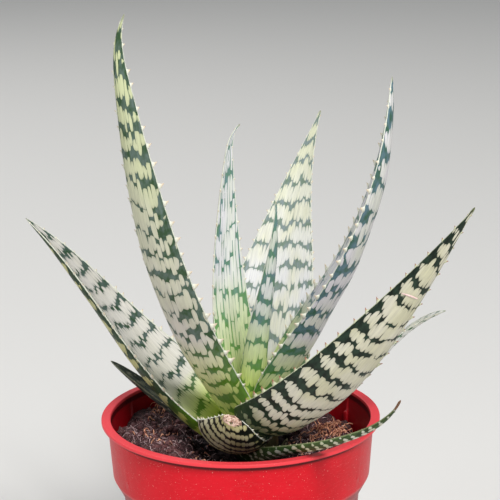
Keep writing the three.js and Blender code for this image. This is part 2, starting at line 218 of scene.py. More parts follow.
# Leaf skin. Light cells lie side by side along the leaf, like fingers with rounded ends, and dark
# gaps cross the leaf between one row of them and the next. Sizes are in millimetres.
LEAF_LOOK = dict(
    finger=1.6,  # width of one cell
    uneven=2.0,  # how much that width changes over the leaf
    roundness=2.6,  # how far the corners of a cell's end draw back
    period=8.4,  # from one dark gap to the next
    gap=0.6,  # half the thickness of a gap
    inner_gap=0.0,  # what the inner face adds to that
    side_gap=0.0,  # what each millimetre towards the leaf's own left adds
    gap_change=3.4,  # how much the gaps swell and close over the leaf
    wave=9.0,  # how far the gaps stray along the leaf
    ragged=1.8,  # how much one cell's end stands out from its neighbour's
    slit=3.6,  # how far a dark slit runs between two cells
    margin=2.6,  # width of the dark stripe inside the margin
    margin_gap=(2.6, 2.6),  # what that stripe adds to the gaps at the right and the left margin
    base_reach=40.0,  # how far from the leaf's base these two go
    base_margin=0.0,  # how much wider the stripe is near the base
    base_gap=0.0,  # how much wider the gaps are there
    lime=30.0,  # how far the yellow-green of the base reaches
    light=(srgb(206, 202, 180), srgb(192, 192, 152)),  # cells of the outer face, plain and warmer
    light_inner=(srgb(222, 221, 218), srgb(214, 214, 190)),
    upper=srgb(204, 212, 150),  # what the light cells turn to in the upper half
    upper_share=0.0,
    dark=(srgb(16, 32, 22), srgb(48, 70, 56)),  # gaps of the outer face, plain and paler
    dark_inner=(srgb(70, 100, 84), srgb(104, 128, 134)),
    lime_light=srgb(204, 220, 84),
    lime_dark=srgb(112, 156, 30),
    horn=srgb(220, 222, 206),  # the hard, pale edge and the foot of its teeth
    horn_width=0.3,
    tooth_tip=srgb(214, 196, 170),
    tip=srgb(158, 162, 136),
    tip_share=0.99,  # share of the length where the leaf's dry point begins
    seed=1,
)
SEED_STRIDE = 17.3


def leaf_cells(finish, look, seed, vein, along, edge, inner):
    """How light each point is, from 0 in a dark gap to 1 in a cell, and how deep in its cell it is."""
    strand = vein / look["finger"] + finish.noise(vein * 0.3, along * 0.04, seed) * look["uneven"]
    column = strand.floor()
    within = strand - column - 0.5
    wave = (finish.noise(vein * 0.11, along * 0.035, seed + 3) - 0.5) * look["wave"]
    own = finish.chance(column, 0, seed)
    row = (along + wave + (own - 0.5) * look["ragged"]) / look["period"]
    gap_number = (row + 0.5).floor()
    from_gap = row - gap_number
    cell_end = gap_number * 2 + from_gap.math("GREATER_THAN", from_gap, 0)

    # How far the gap reaches here
    swell = finish.noise(vein * 0.16, along * 0.09, seed + 7) - 0.5
    end = finish.chance(column, cell_end, seed + 1) - 0.5
    near_base = (1 - along / look["base_reach"]).clamped()
    near_margin = (1 - edge / (near_base * look["base_margin"] + look["margin"])).clamped()
    at_right, at_left = look["margin_gap"]
    stripe = vein.above(0, 1) * (at_left - at_right) + at_right
    gap = swell * look["gap_change"] + end * look["ragged"] + look["gap"]
    gap = gap + within * within * look["roundness"] + near_base * look["base_gap"]
    gap = gap + near_margin * stripe + inner * look["inner_gap"] + vein * look["side_gap"]
    beyond = abs(from_gap) * look["period"] - gap

    # Slits between neighbouring cells, widest at the gap
    boundary = (strand + 0.5).floor()
    slit = finish.chance(boundary, cell_end, seed + 5)
    slit_left = (1 - beyond / (slit * slit * look["slit"] + 0.05)).clamped()
    slit_left = (slit_left + near_margin * 0.6 + near_base * (0.3 * look["base_gap"])).clamped()
    to_boundary = 0.5 - abs(within)
    open_here = to_boundary.above(slit_left * 0.2 - 0.05, 0.12)
    return beyond.above(0, 0.35) * open_here, beyond.above(0.6, 1.4)


def leaf_skin(name, **changes):
    """Skin of one leaf: the common look with that leaf's own changes."""
    look = {**LEAF_LOOK, **changes}
    finish = Finish(name, Specular_IOR_Level=0.25)
    vein, along, edge = finish.parts(finish.attribute("blade", "Vector"))
    inner = finish.attribute("inner").above(0.5, 0.4)
    share = finish.attribute("share")
    seed = look["seed"] * SEED_STRIDE
    light, deep = leaf_cells(finish, look, seed, vein, along, edge, inner)

    fibre = finish.noise(vein * 3.4, along * 0.14, seed + 9, detail=3, roughness=0.65)
    strip = finish.noise(vein * 1.3, along * 0.06, seed + 10)
    cloud = finish.noise(vein * 0.12, along * 0.05, seed + 11)
    tone = finish.noise(vein * 0.5, along * 0.3, seed + 13)
    warm = (cloud.above(0.52, 0.22) * 0.7 + fibre.above(0.56, 0.2) * 0.3).clamped()
    cool = tone.above(0.5, 0.3)
    outer_light = finish.mix(warm, *look["light"])
    light_colour = finish.mix(inner, outer_light, finish.mix(warm, *look["light_inner"]))
    upper = share.above(0.62, 0.5) * look["upper_share"]
    light_colour = finish.mix(upper, light_colour, look["upper"])
    outer_dark = finish.mix(cool, *look["dark"])
    dark_colour = finish.mix(inner, outer_dark, finish.mix(cool, *look["dark_inner"]))
    lime = (1 - along / look["lime"]).clamped() ** 0.8
    light_colour = finish.mix(lime, light_colour, look["lime_light"])
    dark_colour = finish.mix(lime, dark_colour, look["lime_dark"])
    colour = finish.mix(light * (deep * 0.2 + 0.8), dark_colour, light_colour)
    streak = fibre.above(0.48, 0.24) * 0.16 + strip.above(0.5, 0.3) * 0.1 + 0.78
    colour = finish.shaded(colour, streak)

    horn = edge.below(finish.noise(along * 0.7, 0, seed) * look["horn_width"] + 0.06, 0.14)
    horn_colour = finish.mix(edge.below(-0.8, 0.5), look["horn"], look["tooth_tip"])
    colour = finish.mix(horn, colour, horn_colour)
    colour = finish.mix(share.above(look["tip_share"], 0.012), colour, look["tip"])
    roughness = finish.noise(vein * 0.8, along * 0.5, seed + 15) * 0.2 + 0.36 + light * 0.08
    height = light * 0.5 + fibre * 0.7 + tone * 0.5 + strip * 0.6
    return finish.paint(colour, roughness, height, 0.1)


# Shapes. Pot, soil and stem have the sizes that the model gives them.
RIM_RADIUS = 50
RIM_THICKNESS = 1.3
COLLAR_TOP_RADIUS = 47.8
COLLAR_FOOT_RADIUS = 46.3
COLLAR_DEPTH = 21
WALL_SLOPE = (COLLAR_TOP_RADIUS - COLLAR_FOOT_RADIUS) / COLLAR_DEPTH
STEP_DEPTH = 28
BODY_TOP_RADIUS = 42.6
BASE_RADIUS = 37.3
POT_WALL = 1.1
POT_FLOOR = 1.6
POT_SIDES = 192
POT_AXIS_RADIUS = 0.02
LIP_ROUNDING = 0.4
CORNER_LIMIT = 2.3  # a side is at least this many times as long as the rounding at its end
DRAIN_HOLES = 8
DRAIN_RADIUS = 3.5
DRAIN_CIRCLE = 26
DRAIN_SIDES = 24
LUGS = 6
LUG_SIZE = (1.6, 2.2, 9)
LUG_TOP = POT_HEIGHT - 8
LUG_ANGLE = 0.54
LUG_ROOT = 0.6
LUG_SIDES = 16
LUG_SQUARENESS = 0.8
LUG_PROFILE = ((0, 0.55), (0.06, 1), (0.94, 1), (1, 0.55))

SOIL_LEVEL = 77.5
SOIL_BUMP = 0.9
SOIL_TILT = 3
HOLLOW_DEPTH = 4.5
HOLLOW_RADIUS = 25
SOIL_CLEARANCE = 0.3
SOIL_RINGS = 62
SOIL_SIDES = 256
SOIL_RELIEF = ((8, 1.5), (3.2, 1.3), (1.4, 0.9))  # size and depth of the crumbled bumps
SOIL_EDGE_DROP = 4
SOIL_LUG_OVERLAP = 0.4  # how far the soil closes round the lugs
SOIL_CENTRE_RADIUS = 0.05
PLANT_RADIUS = 15
EDGE_MARGIN = 1

CRUMBS = 1500
CRUMB_SIZES = (0.25, 1.5)  # the smallest, and how much larger the largest is
CRUMB_LIFT = 0.3
CRUMB_DEPTHS = (0.6, 1)
CRUMB_HEIGHTS = (0.5, 0.8)
CRUMB_TINTS = (0.2, 0.4)  # the least, and how much more the most is
CRUMB_UNEVENNESS = 0.45
CRUMB_FINENESS = 1.7
CRUMB_SIDES = 8
CRUMB_RINGS = 5

FIBRES = 1500
PALE_SHARE = 0.8
FIBRE_LENGTHS = (0.8, 4)
FIBRE_LIFT = 0.7
FIBRE_THICKNESSES = (0.06, 0.14)
FIBRE_BEND = 0.5
FIBRE_WANDER = 0.2
FIBRE_SIDES = 5
FIBRE_STEPS = 7
COIR_LENGTHS = (2, 7)
COIR_LIFT = 2.4
COIR_MARGIN = 1.5
COIR_TUFTS = (  # middle, spread and number of threads
    (33.5, 12.5, 3.1, 120),
    (-30, 30, 1.6, 14),
    (3, -18, 1.6, 12),
    (-29, -2, 3, 8),
)

STEM_AXIS = (4, 0)
LEAF_ROOT = 4
SPINE_STEPS = 60
SHEATH_SHARE = 0.1
RING_STEP = 1.1
ACROSS = 26
TIP_HALF = 0.5
TIP_ROUNDING = 0.014
TIP_RINGS = (1, 0.7, 0.45, 0.25, 0.1, 0.02)
TOOTH_SCALE = 1.35
SMALLEST_TOOTH = 0.16
TOOTH_SIDES = 8
TOOTH_ROOT = 0.3
TOOTH_PROFILE = ((0, 1), (0.3, 0.66), (0.65, 0.32), (1, 0.05))
TOOTH_REACH = 1.1  # how far a tooth stands out, for each millimetre of its height
TOOTH_BEND = 0.5  # how far its point leans towards the leaf's tip
TOOTH_BEND_CURVE = 1.7
TOOTH_PLACE = 0.34  # where in its share of the margin a tooth stands
TOOTH_STRAY = 0.2
TOOTH_VARIETY = 0.25
TEETH_START = 0.06  # share of the leaf's length where the first teeth show
TEETH_GROWN = 0.15  # share from there on which the teeth grow to their full size
TEETH_TAPER = 0.35
TOOTH_FOOT = (0.4, 0.6)  # half its length along the margin: at least, and for each millimetre of height
TOOTH_THICK = (0.2, 0.26)
TOOTH_VALUE = 0.3  # how far past the margin a tooth's foot counts, for the finish

HOOK_START = 0.86
OPENING_END = 0.5  # share of the length where the channel has opened as far as it goes
OPENING_CURVE = 0.8
SMALLEST_ARC = 0.8
THICKNESS_TAPER = 0.6
THICKEST = 0.9  # the most that a leaf's thickness may be, as a share of half its width
MARGIN_ROUNDNESS = 0.75
INNER_SHARE = 0.35  # how much of the thickness lies on the inner side of the middle line
RIPPLE_HEIGHT = 0.2
RIPPLE_LENGTH = 6.1
RIPPLE_SLANT = 2.3
RIPPLE_HALF = 7  # half a leaf's width from which its ripple is full
VEIN_FAN = 0.6  # how closely the veins follow the leaf's narrowing
NEARLY_ZERO = 1e-9

DRY_TIP_LENGTH = 2.8
DRY_TIP_ROOT = 1.4
DRY_TIP_WIDTH = 0.9  # as a share of the leaf's width at the cut
DRY_TIP_THICK = 1.5
DRY_TIP_LIFT = 0.2
DRY_TIP_CURL = 0.5
DRY_TIP_BLUNTNESS = 2.6
DRY_TIP_END = 0.0005  # keeps the last ring from closing to one point
DRY_TIP_FOLDS = ((0.3, 0.55), (0.2, 1.5))  # depth and fineness of its folds
DRY_TIP_RINGS = 30
DRY_TIP_SIDES = 44

# Ends of the scar, as a share of the leaf's length and a place across it
SCAR_START = (0.736, -0.43)
SCAR_END = (0.744, 0.57)
SCAR_BEND = 0.004
SCAR_THICK = 0.34
SCAR_HEIGHT = 0.7  # how far it stands out, for each millimetre of its thickness
SCAR_END_SHARE = 0.25  # thickness left at its ends
SCAR_STEPS = 24
SCAR_SIDES = 8

# Leaves. Angles are in degrees and lengths in millimetres, as the model has them: lean from the
# vertical and sway to the side at the base, middle and tip, roll at the base and tip, and a hook
# that turns the last of the tip. Cut is the share of its length where a withered tip begins.
LEAVES = {
    "leaf_heart": dict(
        azimuth=-78, lean=(0, 13, 4), sway=(-3, 7, -2), roll=(-3, 17), hook=0,
        length=81, width=13, taper=0.87, clasp=70, channel=37, thickness=3.4,
        base_radius=5, base_height=91, tooth=0.4, pitch=5),
    "leaf_back_left": dict(
        azimuth=116, lean=(21, 8, -4), sway=(4, -3, -4), roll=(-4, 12), hook=-49,
        length=105, width=24, taper=0.89, clasp=74, channel=34, thickness=4.5,
        base_radius=6.6, base_height=88, tooth=0.9, pitch=5.5),
    "leaf_back_broad": dict(
        azimuth=67, lean=(23, 39, 28), sway=(1, 3, -9), roll=(18, -28), hook=0,
        length=118, width=52, taper=0.97, clasp=74, channel=26, thickness=5,
        base_radius=9, base_height=88, tooth=1, pitch=4, tip_half=1),
    "leaf_tall_right": dict(
        azimuth=-29, lean=(28, 31, -6), sway=(3, -15, 9), roll=(15, 26), hook=0,
        length=144.5, width=35, taper=0.64, clasp=79, channel=50, thickness=5.5,
        base_radius=6, base_height=92, tooth=1.5, pitch=5.5),
    "leaf_tall_left": dict(
        azimuth=-127, lean=(42, 27, -1), sway=(-1, 6, -10), roll=(-20, 28), hook=40,
        length=175, width=29, taper=0.83, clasp=64, channel=23, thickness=6,
        base_radius=7, base_height=89, tooth=1.7, pitch=6.5),
    "leaf_front_right": dict(
        azimuth=-68, lean=(78, 41, 37), sway=(-13, 15, 11), roll=(-4, -50), hook=0,
        length=154, width=40, taper=1.05, clasp=70, channel=29, thickness=6,
        base_radius=8.5, base_height=87, tooth=1.4, pitch=6.2),
    "leaf_low_left": dict(
        azimuth=174, lean=(55, 38, 47), sway=(0, -4, -2), roll=(-22, -7), hook=0,
        length=101, width=39.5, taper=0.8, clasp=63, channel=47, thickness=6,
        base_radius=13, base_height=84, tooth=1.1, pitch=4.5),
    "leaf_front_stub": dict(
        azimuth=-117, lean=(83, 52, 27), sway=(3, 25, 2), roll=(-1, -7), hook=0,
        length=39.5, width=37.5, taper=0.6, clasp=62, channel=42, thickness=6,
        base_radius=11, base_height=81, tooth=0.9, pitch=3, cut=0.93),
    "leaf_old_left": dict(
        azimuth=171, lean=(66, 54, 52), sway=(0, 0, 0), roll=(5, -5), hook=0,
        length=46.5, width=16, taper=0.6, clasp=75, channel=32, thickness=4,
        base_radius=13, base_height=80, tooth=0.4, pitch=4),
    "leaf_low_right": dict(
        azimuth=-14, lean=(69, 42, 64), sway=(-1, -3, -30), roll=(-17, 0), hook=0,
        length=79, width=19, taper=0.57, clasp=70, channel=25, thickness=4,
        base_radius=12, base_height=84.5, tooth=0.6, pitch=4.5),
    "leaf_over_rim": dict(
        azimuth=-71, lean=(59, 65, 39), sway=(-14, 21, -2), roll=(-3, -8), hook=0,
        length=95, width=10, taper=0.85, clasp=69, channel=38, thickness=3.6,
        base_radius=11, base_height=74.5, tooth=0.4, pitch=4.5),
    "leaf_hidden_back": dict(
        azimuth=92, lean=(66, 54, 46), sway=(0, 0, 0), roll=(0, 0), hook=0,
        length=70, width=25, taper=0.75, clasp=70, channel=40, thickness=5,
        base_radius=12, base_height=81, tooth=0.8, pitch=5),
}


def through(values, share):
    """A smooth curve through a value at the base, the middle and the tip."""
    base, middle, tip = values
    return (base * (1 - share) * (1 - 2 * share)
            + middle * 4 * share * (1 - share) + tip * share * (2 * share - 1))


def leaf_axes(leaf, share):
    """Directions along the leaf, to its side and out of its inner face, a row for each share."""
    azimuth = math.radians(leaf["azimuth"])
    outward = np.array([math.cos(azimuth), math.sin(azimuth), 0])
    sideways = np.array([-math.sin(azimuth), math.cos(azimuth), 0])
    upright = np.array([0, 0, 1])
    lean = np.radians(through(leaf["lean"], share))[:, None]
    hook = leaf["hook"] * np.clip((share - HOOK_START) / (1 - HOOK_START), 0, 1) ** 2
    sway = np.radians(through(leaf["sway"], share) + hook)[:, None]
    rise = np.sin(lean) * outward + np.cos(lean) * upright
    along = np.cos(sway) * rise + np.sin(sway) * sideways
    side = sideways - (along @ sideways)[:, None] * along
    side /= np.linalg.norm(side, axis=1)[:, None]
    inner = np.cross(along, side)
    start, end = leaf["roll"]
    roll = np.radians(start + (end - start) * share)[:, None]
    return (along, side * np.cos(roll) + inner * np.sin(roll),
            inner * np.cos(roll) - side * np.sin(roll))


def leaf_spine(leaf, share):
    """Points of the leaf's middle line."""
    azimuth = math.radians(leaf["azimuth"])
    start = np.array([
        STEM_AXIS[0] + leaf["base_radius"] * math.cos(azimuth),
        STEM_AXIS[1] + leaf["base_radius"] * math.sin(azimuth),
        leaf["base_height"],
    ])
    along = leaf_axes(leaf, (np.arange(SPINE_STEPS) + 0.5) / SPINE_STEPS)[0]
    steps = np.cumsum(along * leaf["length"] / SPINE_STEPS, axis=0)
    points = start + np.vstack([np.zeros(3), steps])
    grid = np.linspace(0, 1, SPINE_STEPS + 1)
    return np.stack([np.interp(share, grid, points[:, axis]) for axis in range(3)], axis=1)


def leaf_half(leaf, share):
    """Half the leaf's width, measured round its arc, down to a blunt end."""
    sheath = 2 * leaf["base_radius"] * math.radians(leaf["clasp"]) / leaf["width"]
    narrowing = 1 - (1 - sheath) * np.exp(-share / SHEATH_SHARE)
    half = leaf["width"] * np.clip(1 - share, 0, 1) ** leaf["taper"] * narrowing / 2
    blunt = leaf.get("tip_half", TIP_HALF) * np.sqrt(np.clip((1 - share) / TIP_ROUNDING, 0, 1))
    return np.maximum(half, blunt)


def leaf_points(leaf, share, across, inner_face, reach=0.0):
    """Points of the blade: across is from -1 to 1, a number for each column or each point."""
    _, side, inner = leaf_axes(leaf, share)
    middle = leaf_spine(leaf, share)
    half = leaf_half(leaf, share)[:, None]
    opening = np.clip(share / OPENING_END, 0, 1) ** OPENING_CURVE
    channel = np.radians(leaf["clasp"] + (leaf["channel"] - leaf["clasp"]) * opening)[:, None]
    arc_radius = np.maximum(half, SMALLEST_ARC) / channel
    angle = across * (half + reach) / arc_radius
    tapering = leaf["thickness"] * np.clip(1 - share, 0, 1)[:, None] ** THICKNESS_TAPER
    thickness = np.minimum(tapering, THICKEST * half) * (1 - across ** 2) ** MARGIN_ROUNDNESS
    offset = np.where(inner_face, INNER_SHARE, INNER_SHARE - 1) * thickness
    to_side = (arc_radius - offset) * np.sin(angle)
    to_inner = arc_radius * (1 - np.cos(angle)) + offset * np.cos(angle)
    return middle[:, None] + side[:, None] * to_side[..., None] + inner[:, None] * to_inner[..., None]


class Shell:
    """Gathers points in millimetres, faces and the values a finish reads, for one closed mesh."""

    def __init__(self, *attributes):
        self.points = []
        self.faces = []
        self.values = {attribute: [] for attribute in attributes}

    def add(self, points, **values):
        start = len(self.points)
        self.points.extend(np.asarray(points).reshape(-1, 3).tolist())
        for attribute, numbers in values.items():
            self.values[attribute].extend(numbers)
        return start

    def tube(self, start, rings, sides):
        """Faces of a closed tube of rings of points, with both its ends covered."""
        for ring in range(rings - 1):
            for corner in range(sides):
                a = start + ring * sides + corner
                b = start + ring * sides + (corner + 1) % sides
                self.faces.append((a, b, b + sides, a + sides))
        self.faces.append(tuple(start + corner for corner in reversed(range(sides))))
        last = start + (rings - 1) * sides
        self.faces.append(tuple(last + corner for corner in range(sides)))

    def make(self, name, finish):
        mesh = bpy.data.meshes.new(name)
        mesh.from_pydata([tuple(np.multiply(point, MM)) for point in self.points], [], self.faces)
        for attribute, numbers in self.values.items():
            flat = np.asarray(numbers, np.float32)
            kind, key = ("FLOAT_VECTOR", "vector") if flat.ndim > 1 else ("FLOAT", "value")
            mesh.attributes.new(attribute, kind, "POINT").data.foreach_set(key, flat.ravel())
        return make_piece(name, mesh, finish)


def make_piece(name, mesh, finish):
    """Turns a mesh's faces outward, smooths its shading and puts it in the scene."""
    tidy = bmesh.new()
    tidy.from_mesh(mesh)
    bmesh.ops.triangulate(tidy, faces=[face for face in tidy.faces if len(face.verts) > 4])
    bmesh.ops.recalc_face_normals(tidy, faces=tidy.faces)
    tidy.to_mesh(mesh)
    tidy.free()
    mesh.polygons.foreach_set("use_smooth", [True] * len(mesh.polygons))
    mesh.materials.append(finish)
    piece = bpy.data.objects.new(name, mesh)
    bpy.context.scene.collection.objects.link(piece)
    return piece


def make_leaf(name, leaf, finish):
    """A leaf with its root end and its marginal teeth.

    Its base is not cut clear: it runs into the stem and into the bases beside it.
    """
    draw = random.Random(name)
    shell = Shell("blade", "inner", "share")
    last = leaf.get("cut", 1 - TIP_ROUNDING)
    share = np.linspace(0, last, int(leaf["length"] / RING_STEP), endpoint=False)
    share = np.append(share, last if "cut" in leaf else 1 - TIP_ROUNDING * np.array(TIP_RINGS))
    around = np.linspace(0, 2 * math.pi, 2 * ACROSS, endpoint=False)
    across = -np.cos(around)
    inner_face = np.sin(around) > -NEARLY_ZERO
    at_margin = np.abs(across) == 1
    points = leaf_points(leaf, share, across[None, :], inner_face[None, :])
    along, _, inner = leaf_axes(leaf, share)
    half = leaf_half(leaf, share)[:, None]
    distance = (share * leaf["length"])[:, None] + 0 * across
    ripple = np.sin(distance / RIPPLE_LENGTH + across * RIPPLE_SLANT + len(name)) * (1 - across ** 2)
    ripple *= np.where(inner_face, 1, -1) * np.minimum(1, half / RIPPLE_HALF) * RIPPLE_HEIGHT
    points = points + inner[:, None] * ripple[..., None]
    points[0] -= along[0] * LEAF_ROOT
    vein = across * half ** VEIN_FAN * half.max() ** (1 - VEIN_FAN)
    edge = (1 - np.abs(across)) * half
    face = np.where(at_margin, 0.5, inner_face.astype(float))
    start = shell.add(
        points,
        blade=np.stack([vein, distance, edge], axis=-1).reshape(-1, 3).tolist(),
        inner=np.broadcast_to(face, distance.shape).ravel().tolist(),
        share=np.broadcast_to(share[:, None], distance.shape).ravel().tolist(),
    )
    shell.tube(start, len(share), 2 * ACROSS)
    add_teeth(shell, leaf, draw)
    return shell.make(name + "_blade", finish)


def add_teeth(shell, leaf, draw):
    """Teeth along both margins: flattened cones with a long foot, bent towards the leaf's tip."""
    count = int(leaf["length"] / leaf["pitch"])
    for edge in (1.0, -1.0):
        for number in range(count):
            place = (number + TOOTH_PLACE + draw.uniform(-TOOTH_STRAY, TOOTH_STRAY)) / count
            if place > leaf.get("cut", 1):
                break
            grown = min(1, max(0, (place - TEETH_START) / TEETH_GROWN)) * (1 - place) ** TEETH_TAPER
            variety = draw.uniform(1 - TOOTH_VARIETY, 1 + TOOTH_VARIETY)
            height = TOOTH_SCALE * leaf["tooth"] * grown * variety
            if height > SMALLEST_TOOTH:
                add_tooth(shell, leaf, place, edge, height)


def add_tooth(shell, leaf, place, edge, height):
    """One tooth; its values tell the finish how far up the tooth each point is."""
    share = np.array([place])
    margin = leaf_points(leaf, share, np.array([[edge]]), True)[0, 0]
    outer = leaf_points(leaf, share, np.array([[edge]]), True, reach=1.0)[0, 0]
    out = (outer - margin) / np.linalg.norm(outer - margin)
    along = leaf_axes(leaf, share)[0][0]
    across = np.cross(along, out)
    turns = np.arange(TOOTH_SIDES) * 2 * math.pi / TOOTH_SIDES
    half_foot = TOOTH_FOOT[1] * height + TOOTH_FOOT[0]
    half_thick = TOOTH_THICK[1] * height + TOOTH_THICK[0]
    points = []
    blade = []
    for level, width in TOOTH_PROFILE:
        rise = level * height * TOOTH_REACH - TOOTH_ROOT
        bend = TOOTH_BEND * height * level ** TOOTH_BEND_CURVE
        middle = margin + out * rise + along * bend
        for turn in turns:
            lengthways = along * math.cos(turn) * half_foot * width
            points.append(middle + lengthways + across * math.sin(turn) * half_thick * width)
            blade.append((0.0, place * leaf["length"], -TOOTH_VALUE - level))
    start = shell.add(points, blade=blade, inner=[0.5] * len(points), share=[place] * len(points))
    shell.tube(start, len(TOOTH_PROFILE), TOOTH_SIDES)


def make_dry_tip(name, leaf, finish):
    """The crumpled, withered tip of a leaf, from its cut on."""
    share = np.array([leaf["cut"]])
    along, side, inner = (axes[0] for axes in leaf_axes(leaf, share))
    foot = leaf_spine(leaf, share)[0] - along * DRY_TIP_ROOT + inner * DRY_TIP_LIFT
    wide = leaf_half(leaf, share)[0] * DRY_TIP_WIDTH
    shell = Shell()
    rings = []
    for level in np.linspace(0, 1, DRY_TIP_RINGS):
        size = math.sqrt(1 + DRY_TIP_END - level ** DRY_TIP_BLUNTNESS)
        ring = []
        for turn in np.linspace(0, 2 * math.pi, DRY_TIP_SIDES, endpoint=False):
            spread = Vector((
                math.cos(turn) * wide, math.sin(turn) * DRY_TIP_THICK, level * DRY_TIP_LENGTH))
            folds = sum(depth * noise.noise(spread * fineness) for depth, fineness in DRY_TIP_FOLDS)
            to_side, to_inner = (spread[axis] * size * (1 + folds) for axis in (0, 1))
            lift = to_inner + DRY_TIP_CURL * level ** 2
            ring.append(foot + along * spread.z * (1 + folds) + side * to_side + inner * lift)
        rings.append(ring)
    shell.tube(shell.add(rings), DRY_TIP_RINGS, DRY_TIP_SIDES)
    return shell.make(name, finish)


def make_scar(name, leaf, finish):
    """A healed scratch: a thin pale ridge across the outer face of a leaf."""
    shell = Shell()
    steps = np.linspace(0, 1, SCAR_STEPS)
    share = SCAR_START[0] + (SCAR_END[0] - SCAR_START[0]) * steps + SCAR_BEND * np.sin(math.pi * steps)
    across = SCAR_START[1] + (SCAR_END[1] - SCAR_START[1]) * steps
    middle = leaf_points(leaf, share, across[:, None], False)[:, 0]
    ridge = np.gradient(middle, axis=0)
    ridge /= np.linalg.norm(ridge, axis=1)[:, None]
    out = -leaf_axes(leaf, share)[2]
    beside = np.cross(ridge, out)
    rings = []
    turns = np.arange(SCAR_SIDES) * 2 * math.pi / SCAR_SIDES
    for index, step in enumerate(steps):
        swell = math.sin(math.pi * step) ** 0.5
        half_wide = SCAR_THICK * (SCAR_END_SHARE + (1 - SCAR_END_SHARE) * swell)
        half_high = half_wide * SCAR_HEIGHT
        rings.append([
            middle[index] + beside[index] * math.cos(turn) * half_wide
            + out[index] * math.sin(turn) * half_high
            for turn in turns
        ])
    shell.tube(shell.add(rings), SCAR_STEPS, SCAR_SIDES)
    return shell.make(name, finish)


# Pot


def turned(profile, sides):
    """A closed mesh turned from a profile of (radius, height) that begins and ends on the axis."""
    shell = Shell()
    rings = [
        [(radius * math.cos(turn), radius * math.sin(turn), height)
         for turn in np.arange(sides) * 2 * math.pi / sides]
        for radius, height in profile
    ]
    start = shell.add(rings)
    shell.tube(start, len(rings), sides)
    return shell


def rounded(profile, radius, steps=5, support=1.12):
    """The profile with each corner turned into a small arc, and a point close to each of its ends.

    Those points keep the shading of the flat stretches flat.
    """
    points = [np.array(point, float) for point in profile]
    smooth = [points[0]]
    for before, corner, after in zip(points, points[1:], points[2:]):
        back = before - corner
        on = after - corner
        shorter = min(np.linalg.norm(back), np.linalg.norm(on))
        reach = min(radius, shorter / CORNER_LIMIT)
        start = back / np.linalg.norm(back) * reach
        end = on / np.linalg.norm(on) * reach
        smooth.append(corner + start * support)
        for step in range(steps + 1):
            t = step / steps
            smooth.append(corner + (1 - t) ** 2 * start + t ** 2 * end)
        smooth.append(corner + end * support)
    smooth.append(points[-1])
    return [tuple(point) for point in smooth]


POT_INSIDE = [
    (BASE_RADIUS - POT_WALL, POT_FLOOR),
    (BODY_TOP_RADIUS - POT_WALL, POT_HEIGHT - STEP_DEPTH),
    (COLLAR_FOOT_RADIUS - POT_WALL, POT_HEIGHT - COLLAR_DEPTH),
    (COLLAR_TOP_RADIUS - POT_WALL, POT_HEIGHT),
]


def pot_inside_radius(height):
    radii, heights = zip(*POT_INSIDE)
    return float(np.interp(height, heights, radii))


SOIL_EDGE = pot_inside_radius(SOIL_LEVEL - SOIL_EDGE_DROP) - LUG_SIZE[0]


def cut(piece, tool, operation):
    """Joins a tool's shape to a piece or takes it away, and removes the tool."""
    modifier = piece.modifiers.new("cut", "BOOLEAN")
    modifier.operation = operation
    modifier.solver = "EXACT"
    modifier.object = tool
    bpy.context.view_layer.update()
    shown = piece.evaluated_get(bpy.context.evaluated_depsgraph_get())
    mesh = bpy.data.meshes.new_from_object(shown)
    piece.modifiers.remove(modifier)
    piece.data = mesh
    bpy.data.objects.remove(tool)


def make_pot(finish):
    """A thin-walled pot with a flat lip, a stepped collar, drain holes and lugs inside the rim."""
    outside = [
        (POT_AXIS_RADIUS, 0),
        (BASE_RADIUS, 0),
        (BODY_TOP_RADIUS, POT_HEIGHT - STEP_DEPTH),
        (COLLAR_FOOT_RADIUS, POT_HEIGHT - COLLAR_DEPTH),
        (COLLAR_TOP_RADIUS, POT_HEIGHT - RIM_THICKNESS),
        (RIM_RADIUS, POT_HEIGHT - RIM_THICKNESS),
        (RIM_RADIUS, POT_HEIGHT),
    ]
    profile = rounded(outside + POT_INSIDE[::-1] + [(POT_AXIS_RADIUS, POT_FLOOR)], LIP_ROUNDING)
    pot = turned(profile, POT_SIDES).make("pot_shell", finish)
    holes = Shell()
    for hole in range(DRAIN_HOLES):
        angle = hole / DRAIN_HOLES * 2 * math.pi
        x, y = DRAIN_CIRCLE * math.cos(angle), DRAIN_CIRCLE * math.sin(angle)
        turns = np.arange(DRAIN_SIDES) * 2 * math.pi / DRAIN_SIDES
        rings = [
            [(x + DRAIN_RADIUS * math.cos(turn), y + DRAIN_RADIUS * math.sin(turn), height)
             for turn in turns]
            for height in (-1, POT_FLOOR + 1)
        ]
        holes.tube(holes.add(rings), 2, DRAIN_SIDES)
    cut(pot, holes.make("holes", finish), "DIFFERENCE")
    depth, width, height = LUG_SIZE
    lugs = Shell()
    for lug in range(LUGS):
        angle = LUG_ANGLE + lug / LUGS * 2 * math.pi
        outward = np.array([math.cos(angle), math.sin(angle), 0])
        sideways = np.array([-math.sin(angle), math.cos(angle), 0])
        outer = pot_inside_radius(LUG_TOP) + LUG_ROOT
        rings = []
        for level, shrink in LUG_PROFILE:
            level_height = LUG_TOP - height * (1 - level)
            corners = []
            for turn in np.arange(LUG_SIDES) * 2 * math.pi / LUG_SIDES:
                square = max(abs(math.cos(turn)), abs(math.sin(turn))) ** LUG_SQUARENESS
                out = outer - depth / 2 + depth / 2 * shrink * math.cos(turn) / square
                across = width / 2 * shrink * math.sin(turn) / square
                corners.append(outward * out + sideways * across + (0, 0, level_height))
            rings.append(corners)
        lugs.tube(lugs.add(rings), len(rings), LUG_SIDES)
    cut(pot, lugs.make("lugs", finish), "UNION")
    pot.data.polygons.foreach_set("use_smooth", [True] * len(pot.data.polygons))
    return pot


# Soil


